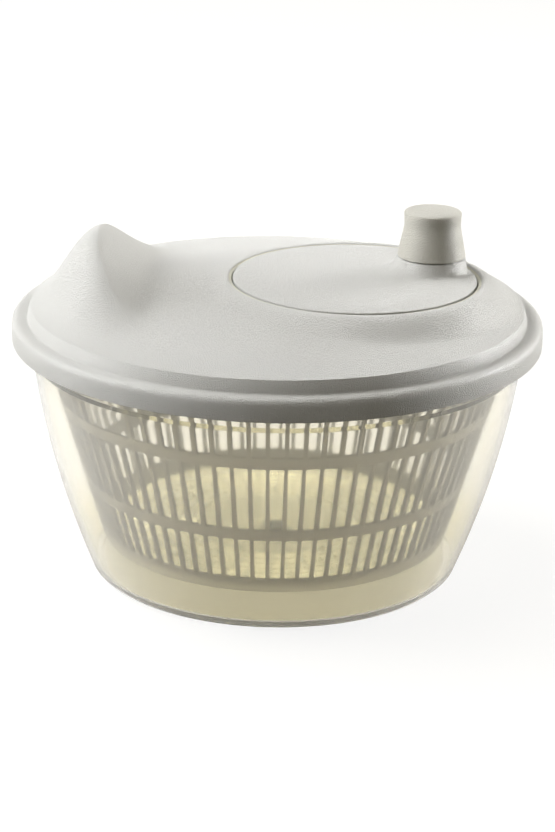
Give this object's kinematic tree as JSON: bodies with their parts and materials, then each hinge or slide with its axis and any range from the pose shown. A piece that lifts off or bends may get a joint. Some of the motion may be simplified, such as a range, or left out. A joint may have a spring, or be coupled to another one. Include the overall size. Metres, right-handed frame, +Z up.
{
  "type": "salad spinner",
  "caption": "Hand-cranked salad spinner: translucent bowl, slotted basket on a pivot, and a pale lid with an off-centre turntable, knob and moulded grip.",
  "frame": {"origin": "centre of the bowl's foot ring, on the surface that it stands on", "axes": "+Z up along the axis of the bowl, basket and lid; +X from that axis to the turntable's axis, away from the grip; -Y towards the viewer"},
  "size_m": [0.25, 0.25, 0.1694],
  "materials": {
    "bowl_clear": "translucent, smooth",
    "basket_clear": "translucent, satin",
    "lid_pale": "satin",
    "crank_pale": "satin",
    "knob_pale": "satin",
    "cover_pale": "satin",
    "driver_pale": "satin",
    "acetal": "satin",
    "steel": "plain"
  },
  "bodies": {
    "bowl": {"bowl": "bowl_clear"},
    "pivot": {"pivot_bush": "acetal"},
    "basket": {"basket": "basket_clear"},
    "lid": {"lid": "lid_pale", "gear_cover": "cover_pale", "cover_screw_1": "steel", "cover_screw_2": "steel", "cover_screw_3": "steel", "cover_screw_4": "steel", "pinion_bush": "acetal"},
    "crank": {"crank_disc": "crank_pale", "ring_gear": "acetal", "axle_washer": "steel", "axle_screw": "steel"},
    "knob": {"crank_knob": "knob_pale", "knob_washer": "steel", "knob_screw": "steel"},
    "driver": {"drive_pinion": "acetal", "thrust_washer": "steel", "basket_driver": "driver_pale", "driver_washer": "steel", "driver_screw": "steel"}
  },
  "joints": [
    {"name": "basket_lift", "type": "slide", "parent": "bowl", "child": "pivot", "axis": [0, 0, 1], "range_m": [0, 0.13]},
    {"name": "basket_spin", "type": "hinge", "parent": "pivot", "child": "basket", "pos_m": [0, 0, 0.015], "axis": [0, 0, 1], "continuous": true},
    {"name": "lid_lift", "type": "slide", "parent": "pivot", "child": "lid", "axis": [0, 0, 1], "range_m": [0, 0.12]},
    {"name": "crank_spin", "type": "hinge", "parent": "lid", "child": "crank", "pos_m": [0.036, 0, 0.13], "axis": [0, 0, 1], "continuous": true},
    {"name": "knob_spin", "type": "hinge", "parent": "crank", "child": "knob", "pos_m": [0.07276, 0.01793, 0.15], "axis": [0, 0, 1], "continuous": true},
    {"name": "driver_spin", "type": "hinge", "parent": "lid", "child": "driver", "pos_m": [0, 0, 0.125], "axis": [0, 0, 1], "continuous": true}
  ],
  "couplings": [
    {"joint": "driver_spin", "follows": "crank_spin", "ratio": 4},
    {"joint": "basket_spin", "follows": "crank_spin", "ratio": 4}
  ]
}
